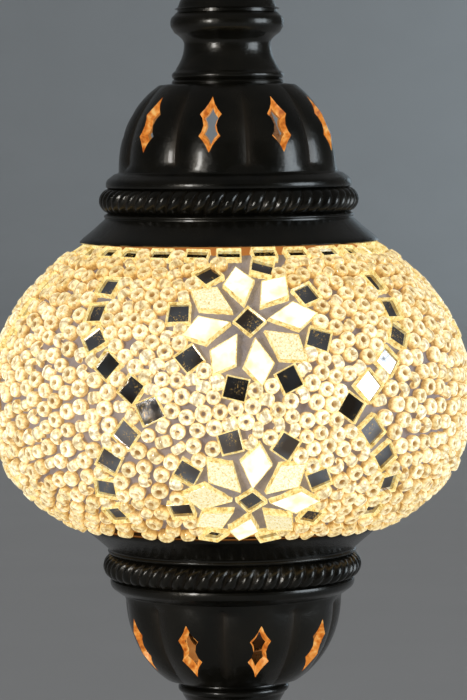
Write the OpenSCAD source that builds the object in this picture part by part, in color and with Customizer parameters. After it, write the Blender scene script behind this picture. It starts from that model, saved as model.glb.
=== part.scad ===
// Mosaic glass table lamp. A glass globe covered with seed beads, mirror squares and
// glass petals stands between two pierced castings on a weighted foot. Millimetres,
// +Z up, origin at the centre of the underside. The front of the lamp faces -Y, and
// angles round the lamp are degrees from the front towards +X.

/* [Globe] */
// Greatest radius of the globe over its beads
globe_r = 66.6; // [64:0.1:70]
// Half height of the full ellipse that shapes the upper half
upper_b = 53.2; // [52:0.1:56]
// Half height of the full superellipse that shapes the lower half
lower_b = 43.25; // [42.5:0.05:45]
// Exponent of the lower superellipse
lower_n = 2.4; // [2.2:0.1:2.6]
// Height of the globe above its equator, up to the cap's rim
above_equator = 42; // [41:0.1:42.5]
// Height of the globe below its equator, down to the cup's rim
below_equator = 35.4; // [34.5:0.1:36]
// Depth of the bead layer
bead_t = 3; // [2.5:0.1:3.2]
// Thickness of the adhesive and grout bed under the beads
bed_t = 1; // [0.6:0.1:1.2]
// Thickness of the blown glass
glass_t = 2.4; // [2:0.1:2.6]
// Radius of the openings ground in the glass, top and bottom
mouth_r = 29; // [28:0.1:30]

/* [Mosaic] */
// Number of times the pattern repeats round the globe
repeats = 3; // [2:1:3]
// Angle of the first repeat
pattern_turn = 5; // [0:1:40]
// Side of a mirror square of the frame
tile_a = 6.4; // [5:0.1:7]
// Side of a mirror square of the flowers
flower_a = 6.1; // [5:0.1:6.5]
// Thickness of a mirror square or a petal
tile_t = 1.8; // [1.5:0.1:2]
// Length of a petal
petal_l = 12.6; // [11:0.1:13.5]
// Width of a petal
petal_w = 8.4; // [7:0.1:8.8]
// Distance of the petals' centres from the flower's centre
petal_ring = 11.8; // [11.5:0.1:12.5]
// Distance of the outer squares' centres from the flower's centre
square_ring = 19.2; // [18:0.1:19.5]
// Height of the two flowers above and below the equator
flower_z = 24.2; // [23:0.1:25]
// Turn of the upper flower about its centre
upper_turn = -9; // [-20:1:20]
// Turn of the lower flower about its centre
lower_turn = 5; // [-20:1:20]

/* [Castings] */
// Radius of the thin rim that meets the globe
rim_r = 41; // [40:0.1:42]
// Greatest radius of the rope band
rope_r = 35.5; // [35:0.1:36]
// Height of the rope band's centre above the rim
rope_z = 11.5; // [11:0.1:12]
// Radius of the dome where it starts
dome_r = 29.95; // [29.5:0.05:30.5]
// Height of the dome's start above the rim
dome_z = 19.5; // [19:0.1:20]
// Half height of the dome's full ellipse
dome_b = 28; // [27.5:0.1:29]
// Height of a casting from its rim to its flat top
cast_h = 43.3; // [42.5:0.1:43.5]
// Wall of the castings
wall = 2; // [1.8:0.1:2.2]
// Number of lobes on a dome
lobes = 9; // [8:1:10]
// Height of a pierced slit
slit_h = 14.9; // [13:0.1:15]
// Widest part of a pierced slit
slit_w = 6; // [5:0.1:6.5]

/* [Foot and stem] */
// Radius of the foot
foot_r = 55; // [53:0.5:58]
// Height of the foot
foot_h = 35; // [34:0.5:36]
// Height of the stem between the foot and the lower neck
stem_h = 67.3; // [64:0.1:72]
// Thickness of the felt under the foot
felt_t = 2; // [1.5:0.1:2.5]
// Radius of the threaded tube through the stem
tube_r = 5; // [4.8:0.05:5]

/* [Light] */
// Radius of the candle bulb
bulb_r = 17.5; // [15:0.1:18]
// Height of the bulb's glass
bulb_h = 80; // [70:0.5:82]
// Distance from the axis to the inner faces of the harp's legs
harp_x = 20.5; // [20:0.1:21.5]
// Thickness of the harp's strip
strip_t = 1.6; // [1.2:0.1:1.8]
// Width of the harp's strip
strip_w = 6; // [4:0.5:8]

/* [Hidden] */

$fn = 96;

// Heights of the lamp's stack
neck_h = 19.4;
cup_rim_z = foot_h + stem_h + neck_h + cast_h;
cap_rim_z = cup_rim_z + below_equator + above_equator;
equator_z = cup_rim_z + below_equator;
cup_floor_z = cup_rim_z - cast_h;
neck_foot_z = cup_floor_z - neck_h;
neck_top_z = cap_rim_z + cast_h + neck_h;
plate_t = 2.4;
seal_t = 2;

// Depths below the bead tops of the layers' outer faces
bed_d = bead_t;
glass_d = bead_t + bed_t;
inner_d = glass_d + glass_t;

// Clearances
gap = 0.3;
bolt_gap = 0.15;
stud_r = 3;
washer_t = 0.8;

bronze = [0.13, 0.1, 0.075];
brass = [0.78, 0.6, 0.28];
steel = [0.72, 0.72, 0.7];
rubber = [0.12, 0.12, 0.12];
phenolic = [0.2, 0.17, 0.14];
mirror_c = [0.75, 0.85, 0.9];
petal_c = [0.97, 0.93, 0.72];
bead_c = [0.95, 0.86, 0.62];

// ---------------------------------------------------------------- outlines

// Points of an arc or an ellipse round [x, y], from angle a0 to a1
function arc(x, y, rx, ry, a0, a1, n = 12) =
    [for (i = [0:n]) [x + rx * cos(a0 + (a1 - a0) * i / n), y + ry * sin(a0 + (a1 - a0) * i / n)]];

// Points of a curve from [r0, z0] to [r1, z1] that is square to the axis at r1
function cove(r0, z0, r1, z1, n = 6) =
    [for (i = [0:n]) [r1 + (r0 - r1) * pow(1 - i / n, 2), z0 + (z1 - z0) * i / n]];

// Radius of the bead tops at a height from the equator, and its slope
function globe_at(z) = z >= 0
    ? globe_r * sqrt(1 - pow(z / upper_b, 2))
    : globe_r * pow(1 - pow(-z / lower_b, lower_n), 1 / lower_n);
function slope_at(z) = (globe_at(z + 0.05) - globe_at(z - 0.05)) / 0.1;
// Upward tilt of the surface there
function tilt_at(z) = atan(-slope_at(z));
// Height after a walk of v along the meridian from height z
function walk(z, v) = z + v * cos(tilt_at(z + v * cos(tilt_at(z)) / 2));

// Outline of the globe at a depth below the bead tops, from the bottom up
rows = 26;
function layer(d) = [for (i = [0:rows])
    let (z = -below_equator - 4 + (below_equator + above_equator + 8.5) * i / rows)
    [globe_at(z) - d * cos(tilt_at(z)), z - d * sin(tilt_at(z))]];

module spun(points) {
    rotate_extrude()
        polygon(points);
}

module ring(r, bore, z, h) {
    translate([0, 0, z])
        difference() {
            cylinder(r = r, h = h);
            translate([0, 0, -1])
                cylinder(r = bore, h = h + 2);
        }
}

module hex_nut(flats, bore, z, h) {
    translate([0, 0, z])
        difference() {
            cylinder(r = flats / 2 / cos(30), h = h, $fn = 6);
            translate([0, 0, -1])
                cylinder(r = bore, h = h + 2);
        }
}

// ---------------------------------------------------------------- castings

rope_a = 3.25;
groove_r = 33.3;
lip_h = 1.4;
inner_r = groove_r - 2.8;
dome_top_a = asin((cast_h - dome_z) / dome_b);
inner_b = dome_b - wall;
inner_top_z = cast_h - plate_t;
inner_top_a = asin((inner_top_z - dome_z) / inner_b);

// Outline of a pierced casting, rim down, dome up
cast_outline = concat(
    [[38.5, 0], [rim_r, 0], [rim_r, lip_h], [38.4, 2.2], [groove_r, 7.1]],
    arc(rope_r - rope_a, rope_z, rope_a, rope_a, -60, 68, 10),
    [[groove_r, 15.2], [32.4, 17], [30.4, 18.7]],
    arc(0, dome_z, dome_r, dome_b, 0, dome_top_a, 14),
    [[0, cast_h], [0, inner_top_z]],
    arc(0, dome_z, dome_r - wall, inner_b, inner_top_a, 0, 14),
    [[inner_r - 1.5, 17], [inner_r, 15], [inner_r, seal_t], [36.5, seal_t]]);

// A slit is a double lozenge with pointed ends
module slit() {
    rise = slit_h;
    wide = slit_w / 2;
    waist = wide * 0.58;
    right = [[0, 0], [wide, rise * 0.28], [waist, rise * 0.49], [wide, rise * 0.7], [0, rise]];
    left = [[-wide, rise * 0.7], [-waist, rise * 0.49], [-wide, rise * 0.28]];
    translate([0, -12, dome_z + 5.2])
        rotate([90, 0, 0])
            linear_extrude(24)
                polygon(concat(right, left));
}

// A thin slab that follows the dome and cuts the crease between two lobes
module crease() {
    deep = 0.8;
    band = concat(
        arc(0, dome_z, dome_r - deep, dome_b - deep, 4, 55, 10),
        arc(0, dome_z, dome_r + 3, dome_b + 3, 55, 4, 10));
    rotate([90, 0, -90])
        linear_extrude(1, center = true)
            polygon(band);
}

module casting(hole, turn) {
    difference() {
        spun(cast_outline);
        translate([0, 0, cast_h - 5])
            cylinder(r = hole, h = 10);
        for (i = [0:lobes - 1]) {
            rotate([0, 0, turn + 360 / lobes * i])
                slit();
            rotate([0, 0, turn + 360 / lobes * (i + 0.5)])
                crease();
        }
    }
}

// The waisted neck outside a casting, from its collar at z = 0 up to its ring
module neck(bore) {
    difference() {
        spun(concat(
            [[0, 0], [15.6, 0], [15.6, 2.4]],
            cove(15, 3.3, 11.9, 10.7, 7),
            [for (i = [1:5]) [11.9 + 2.9 * pow(i / 5, 2), 10.7 + 3.3 * i / 5]],
            [[15.47, 15.4], [15.47, 18.2], [15.1, neck_h], [0, neck_h]]));
        translate([0, 0, -1])
            cylinder(r = bore, h = neck_h + 2);
    }
}

// ---------------------------------------------------------------- foot and stem

inlet_z = 8;
inlet_r = 4;
cable_r = 2.8;
foot_dome_z = 18.5;
foot_dome_r = 41;
foot_dome_b = 18.2;
foot_bore = tube_r + bolt_gap;
foot_roof_z = foot_h - plate_t;

module felt_pad() {
    color([0.1, 0.16, 0.12])
        cylinder(r = foot_r - 1.5, h = felt_t);
}

module foot_casting() {
    top_a = asin((foot_h - foot_dome_z) / foot_dome_b);
    roof_a = asin((foot_roof_z - foot_dome_z) / (foot_dome_b - wall));
    color(bronze)
        difference() {
            spun(concat(
                [[foot_r, felt_t], [foot_r, 5], [foot_r - 2, 6.5], [foot_r - 8.5, 10]],
                arc(foot_r - 10.5, 13.5, 3, 3, -50, 60, 10),
                [[43.5, 17], [42.5, foot_dome_z]],
                arc(0, foot_dome_z, foot_dome_r, foot_dome_b, 0, top_a, 14),
                [[0, foot_h], [0, foot_roof_z]],
                arc(0, foot_dome_z, foot_dome_r - wall, foot_dome_b - wall, roof_a, 0, 14),
                [[foot_r - 13, 12.2], [foot_r - 8.8, 12], [foot_r - 8.8, felt_t]]));
            translate([0, 0, foot_h - 5])
                cylinder(r = foot_bore, h = 10);
            translate([0, 0, inlet_z])
                rotate([-90, 0, 0])
                    cylinder(r = inlet_r, h = foot_r + 5);
        }
}

module ballast_disc() {
    color([0.25, 0.25, 0.26])
        difference() {
            ring(foot_r - 9, 14, felt_t, 9.5);
            translate([-6, 0, 0])
                cube([12, foot_r, 20]);
        }
}

module cable_grommet() {
    color(rubber)
        translate([0, 0, inlet_z])
            rotate([-90, 0, 0])
                difference() {
                    union() {
                        translate([0, 0, foot_r - 9.5])
                            cylinder(r = inlet_r, h = 6.5);
                        translate([0, 0, foot_r - 9.8])
                            cylinder(r = inlet_r - 0.6, h = 1);
                    }
                    cylinder(r = cable_r, h = foot_r);
                }
}

module foot_washer() {
    color(steel)
        ring(10, tube_r + bolt_gap, foot_roof_z - 1.5, 1.5);
}

module foot_nut() {
    color(steel)
        hex_nut(14, tube_r, foot_roof_z - 6.5, 5);
}

module threaded_tube() {
    color(steel)
        ring(tube_r, 3.6, foot_roof_z - 10, cup_floor_z + 14 - foot_roof_z + 10);
}

collar_h = 6;

module stem_collar() {
    color(bronze)
        difference() {
            spun(concat(
                [[0, foot_h], [16.5, foot_h]],
                arc(16.5, foot_h + collar_h / 3, collar_h / 3, collar_h / 3, -90, 90, 8),
                [[14, foot_h + collar_h], [0, foot_h + collar_h]]));
            translate([0, 0, foot_h - 1])
                cylinder(r = foot_bore, h = collar_h + 2);
        }
}

module stem_baluster() {
    low = foot_h + collar_h;
    vase_z = low + 27;
    bell_z = neck_foot_z - 1.2;
    color(bronze)
        difference() {
            spun(concat(
                [[0, low], [13.5, low], [13.5, low + 1.5]],
                cove(12.5, low + 2.5, 8, low + 10),
                arc(8, vase_z, 8.5, 14.5, -68, 68, 14),
                cove(9.5, vase_z + 15, 7.4, vase_z + 20),
                [[7.4, bell_z - 7.5]],
                arc(0, bell_z, 13.3, 6.5, -55, 0, 8),
                [[14.4, neck_foot_z - 0.4], [14.4, neck_foot_z], [0, neck_foot_z]]));
            translate([0, 0, low - 1])
                cylinder(r = foot_bore, h = stem_h);
        }
}

module lower_spool() {
    color(bronze)
        translate([0, 0, cup_floor_z])
            mirror([0, 0, 1])
                neck(foot_bore);
}

module lower_cup() {
    color(bronze)
        translate([0, 0, cup_rim_z])
            mirror([0, 0, 1])
                casting(foot_bore, 15);
}

module cup_seal() {
    color(rubber)
        ring(inner_r + 2.9, inner_r + 0.1, cup_rim_z - seal_t, seal_t);
}

// ---------------------------------------------------------------- harp

strap_t = 1.5;
saddle_z = cup_floor_z + plate_t;
saddle_x = 14.2;
nut_z = saddle_z + strap_t;
sleeve_z = saddle_z + 3;
leg_x = saddle_x;
bridge_z = cap_rim_z + cast_h - plate_t - 2.3;
bridge_x = 9;

module harp_saddle() {
    wide = 12;
    high = 12;
    color(steel)
        difference() {
            union() {
                translate([-saddle_x, -wide / 2, saddle_z])
                    cube([2 * saddle_x, wide, strap_t]);
                for (s = [-1, 1])
                    translate([s * (saddle_x - 0.6) - 0.6, -wide / 2, saddle_z])
                        cube([1.2, wide, high]);
            }
            translate([0, 0, saddle_z - 1])
                cylinder(r = foot_bore, h = strap_t + 2);
        }
}

module saddle_nut() {
    color(steel)
        hex_nut(14, tube_r, nut_z, 3.5);
}

// Outline of one side of the harp, a strip bent from a single flat bar
function harp_side(s, t) = [
    [s * (leg_x + t), sleeve_z], [s * (leg_x + t), sleeve_z + 9],
    [s * (harp_x + t), sleeve_z + 24], [s * (harp_x + t), cap_rim_z + 8],
    [s * (bridge_x + t), bridge_z - strip_t + t]];
function reversed(list) = [for (i = [len(list) - 1:-1:0]) list[i]];

module harp_strip() {
    color(steel)
        translate([0, strip_w / 2, 0])
            rotate([90, 0, 0])
                linear_extrude(strip_w)
                    polygon(concat(harp_side(1, strip_t), reversed(harp_side(-1, strip_t)),
                        harp_side(-1, 0), reversed(harp_side(1, 0))));
}

module harp_stud() {
    color(steel) {
        translate([0, 0, bridge_z])
            cylinder(r = 7, h = 2);
        translate([0, 0, bridge_z])
            cylinder(r = stud_r, h = neck_top_z + 14 - bridge_z);
    }
}

// ---------------------------------------------------------------- lamp holder and bulb

holder_z = nut_z + 4.5;
holder_r = 12.4;
shell_z = holder_z + 16;
holder_top_z = holder_z + 47;
core_z = holder_z + 12;
screw_r = 6.9;
seat_z = core_z + 14;
pin_h = 1.6;
bulb_z = seat_z + 20;

module holder_base() {
    color(phenolic)
        difference() {
            spun(concat(
                [[0, holder_z], [8, holder_z]],
                arc(8, holder_z + 5, holder_r - 8, 5, -90, 0, 6),
                [[holder_r, shell_z], [holder_r - 1.6, shell_z], [holder_r - 1.6, holder_z + 6],
                    [7, holder_z + 4], [0, holder_z + 4]]));
            translate([0, 0, holder_z - 1])
                cylinder(r = tube_r, h = 8);
        }
}

module holder_shell() {
    color(phenolic)
        difference() {
            spun([[screw_r + 1.5, shell_z], [holder_r, shell_z], [holder_r, holder_top_z - 1],
                [holder_r - 1, holder_top_z], [screw_r + 1.5, holder_top_z]]);
            translate([0, 0, shell_z - 1])
                cylinder(r = holder_r - 1.6, h = holder_top_z - shell_z - 3);
        }
}

module holder_core() {
    color([0.9, 0.88, 0.82])
        difference() {
            translate([0, 0, core_z])
                cylinder(r = holder_r - 1.8, h = 11);
            translate([0, -10, core_z - 1])
                for (s = [-1, 1])
                    translate([s * 7 - 2, 0, 0])
                        cube([4, 20, 5]);
        }
}

module thread_sleeve() {
    color(brass)
        ring(screw_r + 0.8, screw_r + 0.07, core_z + 11, holder_top_z - 1.5 - core_z - 11);
}

module centre_contact() {
    color(brass)
        translate([0, 0, core_z + 11])
            cylinder(r = 2.2, h = 3);
}

module side_contact() {
    color(brass)
        translate([screw_r + 0.8, -1.5, core_z + 11])
            cube([0.8, 3, 9]);
}

module terminal_screws() {
    color(brass)
        for (s = [-1, 1])
            translate([s * 7, 0, core_z])
                cylinder(r = 1.5, h = 4);
}

module bulb_contact() {
    color(steel)
        translate([0, 0, seat_z])
            cylinder(r = 2.2, h = pin_h);
}

module bulb_base() {
    color([0.08, 0.08, 0.08])
        translate([0, 0, seat_z + pin_h])
            cylinder(r1 = 4, r2 = screw_r - 1, h = 2);
}

module bulb_cap() {
    low = seat_z + pin_h + 2;
    color(brass)
        difference() {
            translate([0, 0, low])
                cylinder(r = screw_r, h = bulb_z - low);
            translate([0, 0, low + 1])
                cylinder(r = screw_r - 0.6, h = bulb_z);
        }
}

// Outline of the candle bulb at an inset from its outside
function bulb_outline(t) = concat(
    [[screw_r - 0.6 - t, bulb_z - 3], [screw_r - 0.6 - t, bulb_z + 2]],
    arc(0, bulb_z + 31, bulb_r - t, 31 - t, -55, 0, 8),
    arc(0, bulb_z + 31, bulb_r - t, bulb_h - 31 - t, 6, 72, 10),
    [[3.2 - t, bulb_z + bulb_h - 1.8 - t], [0, bulb_z + bulb_h - t]]);

module bulb_glass() {
    color([1, 0.9, 0.7])
        difference() {
            spun(concat(bulb_outline(0), [[0, bulb_z - 3]]));
            spun(concat(bulb_outline(0.9), [[0, bulb_z - 4], [screw_r - 1.5, bulb_z - 4]]));
        }
}

module bulb_stem() {
    color([1, 0.85, 0.45]) {
        translate([0, 0, bulb_z - 2])
            cylinder(r1 = 4.8, r2 = 2, h = 20);
        for (i = [0:3])
            rotate([0, 0, 45 + 90 * i])
                translate([1.4, 0, bulb_z + 16])
                    rotate([0, 9, 0])
                        cylinder(r = 0.8, h = 36, $fn = 16);
    }
}

// ---------------------------------------------------------------- globe

module shell(outer_d, inner_layer_d, low, high, bore) {
    translate([0, 0, equator_z])
        difference() {
            spun(concat(layer(outer_d), [[0, layer(outer_d)[rows][1]], [0, layer(outer_d)[0][1]]]));
            spun(concat(layer(inner_layer_d), [[0, 60], [0, -60]]));
            translate([0, 0, -80])
                cylinder(r = globe_r * 2, h = 80 + low);
            translate([0, 0, high])
                cylinder(r = globe_r * 2, h = 80);
            translate([0, 0, -90])
                cylinder(r = bore, h = 180);
        }
}

module glass_globe() {
    color([0.95, 0.93, 0.85, 0.6])
        shell(glass_d, inner_d, -below_equator, above_equator, mouth_r);
}

module grout_bed() {
    color([0.78, 0.74, 0.76])
        shell(bed_d, glass_d, -below_equator + gap, above_equator - gap, mouth_r);
}

// Puts its children on the globe: x runs to the right, y up the meridian, z outwards
module on_globe(angle, z, d, spin) {
    rotate([0, 0, angle])
        translate([0, -globe_at(z), equator_z + z])
            rotate([90 - tilt_at(z), 0, 0])
                translate([0, 0, -d])
                    rotate([0, 0, spin])
                        children();
}

// The same at [u, v] millimetres to the right of and above a point of the surface. A circle of
// latitude bends away from the straight way to the right, so the place and spin allow for it
module near(angle, z, u, v, d, spin) {
    bend = sin(tilt_at(walk(z, v))) / globe_at(walk(z, v));
    up = walk(z, v - bend * u * u / 2);
    on_globe(angle + u / globe_at(up) * 180 / PI, up, d, spin - bend * u * 180 / PI)
        children();
}

// A mirror square, or with deep the pocket that clears it
module square_tile(side, deep = 0) {
    translate([-side / 2, -side / 2, -deep])
        cube([side, side, tile_t + 2 * deep]);
}

module petal() {
    linear_extrude(tile_t)
        polygon([[0, -petal_l / 2], [petal_w / 2, petal_l * 0.08], [0, petal_l / 2],
            [-petal_w / 2, petal_l * 0.08]]);
}

// The frame of mirror squares is an hourglass round the two flowers of each repeat
waist_a = 23.5;
frame_rows = [-28.6, -21, -13, -5.5, 1, 6.5, 12.5, 19, 26, 33];
function frame_a(z) = z > 0
    ? waist_a + 20 * pow(sin(90 * min(1, z / 26)), 1.4)
    : waist_a + 15.5 * pow(sin(90 * min(1, -z / 28)), 0.8);
function frame_spin(z) = atan2(
    (frame_a(z + 1) - frame_a(z - 1)) * globe_at(z) * PI / 180, 2 / cos(tilt_at(z)));

// Depth of a tile's back, just clear of the curved bed
tile_d = bed_d - 0.05;

module for_repeats() {
    for (i = [0:repeats - 1])
        rotate([0, 0, pattern_turn + 360 / repeats * i])
            children();
}

module frame_squares(grow, deep) {
    for_repeats()
        for (s = [-1, 1])
            for (z = frame_rows)
                on_globe(s * frame_a(z), z, tile_d, -s * frame_spin(z))
                    square_tile(tile_a + 2 * grow, deep);
}

module frame_mirrors() {
    color(mirror_c)
        frame_squares(0, 0);
}

// Puts its children eight times round the flower at height h, clockwise from the angle start
module round_flower(h, ring, start) {
    turn = h > 0 ? upper_turn : lower_turn;
    for (i = [0:7])
        let (a = 45 * i + start + turn)
        near(0, h, ring * sin(a), ring * cos(a), tile_d, -a)
            children();
}

module flower_mirrors() {
    color(mirror_c)
        for_repeats()
            for (h = [-flower_z, flower_z]) {
                on_globe(0, h, tile_d, 40)
                    square_tile(flower_a);
                round_flower(h, square_ring, 22.5)
                    square_tile(flower_a);
            }
}

module glass_petals() {
    color(petal_c)
        for_repeats()
            for (h = [-flower_z, flower_z])
                round_flower(h, petal_ring, 0)
                    petal();
}

rim_count = 28;
rim_tile_h = 4.4;

module rim_mirrors() {
    color(mirror_c)
        for (i = [0:rim_count - 1])
            on_globe(360 / rim_count * i, above_equator - 0.7, tile_d, 0)
                translate([-tile_a / 2, -rim_tile_h / 2, 0])
                    cube([tile_a, rim_tile_h, tile_t]);
}

// The beads as one coat, open where the flowers and the mirror squares are
module bead_layer() {
    window_r = square_ring + tile_a * 0.72;
    color(bead_c)
        difference() {
            shell(0, bed_d, -below_equator + gap, above_equator - 4.8, mouth_r);
            frame_squares(0.4, 3);
            for_repeats()
                for (h = [-flower_z, flower_z])
                    on_globe(0, h, 14, 0)
                        cylinder(r = window_r, h = 24);
        }
}

// ---------------------------------------------------------------- cap and finial

cap_bore = stud_r + gap;
finial_z = neck_top_z + washer_t;

module upper_cap() {
    color(bronze)
        translate([0, 0, cap_rim_z])
            casting(cap_bore, -10);
}

module cap_seal() {
    color(rubber)
        ring(inner_r + 2.9, inner_r + 0.1, cap_rim_z, seal_t);
}

module upper_spool() {
    color(bronze)
        translate([0, 0, cap_rim_z + cast_h])
            neck(cap_bore);
}

module finial_washer() {
    color(brass)
        ring(13.6, stud_r + 0.2, neck_top_z, washer_t);
}

insert_r = 5.5;
insert_h = 5.5;

module finial_insert() {
    color(brass)
        ring(insert_r, stud_r + 0.06, finial_z, insert_h);
}

module finial() {
    color(bronze)
        translate([0, 0, finial_z])
            difference() {
                spun(concat(
                    [[0, 0], [14.4, 0], [13.3, 0.6]],
                    arc(0, 0.6, 13.3, 6.6, 8, 68, 9),
                    [[4.6, 7.6], [4.6, 9]],
                    arc(0, 15.7, 8, 7.6, -55, 62, 14),
                    [[3.2, 23.4]],
                    arc(0, 26, 4.2, 3, -45, 50, 8),
                    [[1, 31.5], [0, 32.5]]));
                translate([0, 0, -1])
                    cylinder(r = insert_r, h = insert_h + 1);
                cylinder(r = cap_bore, h = 17);
            }
}

felt_pad();
foot_casting();
ballast_disc();
cable_grommet();
foot_washer();
foot_nut();
threaded_tube();
stem_collar();
stem_baluster();
lower_spool();
lower_cup();
cup_seal();
harp_saddle();
saddle_nut();
harp_strip();
harp_stud();
holder_base();
holder_shell();
holder_core();
thread_sleeve();
centre_contact();
side_contact();
terminal_screws();
glass_globe();
grout_bed();
bead_layer();
frame_mirrors();
flower_mirrors();
glass_petals();
rim_mirrors();
upper_cap();
cap_seal();
upper_spool();
finial_washer();
finial_insert();
finial();
bulb_contact();
bulb_base();
bulb_cap();
bulb_stem();
bulb_glass();
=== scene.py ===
import math

import bmesh
import bpy
import numpy as np
from mathutils import Matrix, Vector


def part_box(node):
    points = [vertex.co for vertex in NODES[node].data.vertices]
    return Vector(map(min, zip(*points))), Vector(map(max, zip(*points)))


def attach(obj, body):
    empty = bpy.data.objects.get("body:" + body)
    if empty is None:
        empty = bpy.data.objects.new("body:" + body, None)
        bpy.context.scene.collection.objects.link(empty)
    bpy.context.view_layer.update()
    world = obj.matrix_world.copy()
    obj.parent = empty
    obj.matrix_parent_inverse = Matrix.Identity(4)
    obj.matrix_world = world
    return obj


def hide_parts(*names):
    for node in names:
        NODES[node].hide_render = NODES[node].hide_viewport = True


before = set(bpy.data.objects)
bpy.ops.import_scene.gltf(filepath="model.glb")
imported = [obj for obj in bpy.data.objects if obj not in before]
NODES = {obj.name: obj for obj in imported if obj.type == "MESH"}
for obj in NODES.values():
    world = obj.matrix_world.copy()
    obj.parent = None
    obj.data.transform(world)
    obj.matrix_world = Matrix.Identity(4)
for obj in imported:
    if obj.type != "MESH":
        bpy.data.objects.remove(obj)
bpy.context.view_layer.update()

# Lengths in this script are in millimetres until a mesh or an object is made.
MM = 0.001


def low(node):
    """Height of a CAD node's lowest point."""
    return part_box(node)[0].z / MM


def high(node):
    """Height of a CAD node's highest point."""
    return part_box(node)[1].z / MM


CUP_RIM = high("lower_cup")
CUP_FLOOR = low("lower_cup")
CAP_RIM = low("upper_cap")
CAP_TOP = high("upper_cap")
NECK_TOP = high("upper_spool")
NECK_FOOT = low("lower_spool")
FINIAL_FOOT = low("finial")
FINIAL_TIP = high("finial")
FOOT_TOP = high("foot_casting")
FOOT_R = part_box("foot_casting")[1].x / MM
FELT_TOP = high("felt_pad")
COLLAR_TOP = high("stem_collar")
BULB_FOOT = low("bulb_glass") + 3
BULB_TIP = high("bulb_glass")
TAU = 2 * math.pi


# ---------------- camera

CAMERA_AWAY = 923
CAMERA_UP = 274.4
AIM = (0.9, 0, 212.6)
ROLL = math.radians(-0.55)


def new_object(name, data):
    item = bpy.data.objects.new(name, data)
    bpy.context.scene.collection.objects.link(item)
    return item


def make_camera():
    data = bpy.data.cameras.new("camera")
    data.lens = 173
    data.sensor_width = 36
    data.clip_start = 0.01
    camera = new_object("camera", data)
    place = Vector((AIM[0], -CAMERA_AWAY, CAMERA_UP)) * MM
    look = Vector(AIM) * MM - place
    turn = look.to_track_quat("-Z", "Y").to_matrix().to_4x4()
    camera.matrix_world = Matrix.Translation(place) @ turn @ Matrix.Rotation(ROLL, 4, "Z")
    bpy.context.scene.camera = camera
    bpy.context.scene.view_settings.view_transform = "Standard"


make_camera()


# ---------------- meshes

SHARP = 38


def fast_mesh(name, points, quads):
    """A mesh of quads from arrays: points in millimetres, and four point numbers to a face."""
    mesh = bpy.data.meshes.new(name)
    mesh.vertices.add(len(points))
    mesh.vertices.foreach_set("co", (np.asarray(points, float) * MM).astype(np.float32).ravel())
    mesh.loops.add(quads.size)
    mesh.loops.foreach_set("vertex_index", quads.astype(np.int32).ravel())
    mesh.polygons.add(len(quads))
    mesh.polygons.foreach_set("loop_start", np.arange(0, quads.size, 4, dtype=np.int32))
    mesh.update(calc_edges=True)
    return mesh


def add_attribute(mesh, name, values):
    attribute = mesh.attributes.new(name, "FLOAT", "POINT")
    attribute.data.foreach_set("value", np.asarray(values, np.float32).ravel())


def clean(mesh, weld=1e-7):
    """Welds poles, drops flat faces and turns the normals outwards."""
    bm = bmesh.new()
    bm.from_mesh(mesh)
    bmesh.ops.remove_doubles(bm, verts=bm.verts, dist=weld)
    bmesh.ops.dissolve_degenerate(bm, edges=bm.edges, dist=weld)
    bmesh.ops.recalc_face_normals(bm, faces=bm.faces)
    bm.to_mesh(mesh)
    bm.free()


def smooth(mesh, sharp):
    """Smooth shading, but for edges sharper than an angle in degrees."""
    mesh.polygons.foreach_set("use_smooth", [True] * len(mesh.polygons))
    mesh.set_sharp_from_angle(angle=math.radians(sharp))


def add_object(name, mesh, sharp=SHARP):
    smooth(mesh, sharp)
    return new_object(name, mesh)


def finish_piece(piece, body, slot, materials, *replaced):
    for material in materials:
        piece.data.materials.append(material)
    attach(piece, body)
    if replaced:
        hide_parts(*replaced)
    return piece


def around(count):
    """Angles of the columns of a round grid, from the front towards +X."""
    return np.arange(count) * TAU / count


def grid_quads(rows, columns, closed):
    """Faces of a grid that wraps round its columns, and round its rows when closed."""
    last = rows if closed else rows - 1
    i, j = np.meshgrid(np.arange(last), np.arange(columns), indexing="ij")
    a = i * columns + j
    b = i * columns + (j + 1) % columns
    c = (i + 1) % rows * columns + (j + 1) % columns
    d = (i + 1) % rows * columns + j
    return np.stack([a, b, c, d], -1).reshape(-1, 4)


def turned(radii, heights, angles):
    """Points of a turned grid: radii may vary along the columns."""
    x = radii * np.sin(angles)[None, :]
    y = -radii * np.cos(angles)[None, :]
    z = heights[:, None] + 0 * x
    return np.stack([x, y, z], -1)


def arc(x, z, rx, rz, start, end, steps):
    """Points of an arc or ellipse round (x, z), in degrees."""
    turn = np.radians(np.linspace(start, end, steps + 1))
    return [(x + rx * math.cos(t), z + rz * math.sin(t)) for t in turn]


def cove(r0, z0, r1, z1, steps=8):
    """Points of a hollow curve that ends upright at (r1, z1)."""
    share = np.linspace(0, 1, steps + 1)
    return [(r1 + (r0 - r1) * (1 - s) ** 2, z0 + (z1 - z0) * s) for s in share]


def smoothstep(x, start, end):
    t = np.clip((x - start) / (end - start), 0, 1)
    return t * t * (3 - 2 * t)


def arch(phase):
    """0 on the middle of a strand or lobe, 1 in the groove between two of them."""
    return (2 * (phase - np.floor(phase)) - 1) ** 2


def grooved(name, radii, heights, angles, groove, inside=None):
    """A closed turned mesh that carries how deep each point lies in a groove."""
    points = turned(radii, heights, angles).reshape(-1, 3)
    mesh = fast_mesh(name, points, grid_quads(len(heights), len(angles), True))
    add_attribute(mesh, "groove", groove)
    if inside is not None:
        mesh.polygons.foreach_set("material_index", np.repeat(inside, len(angles)))
    clean(mesh)
    return mesh


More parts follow.
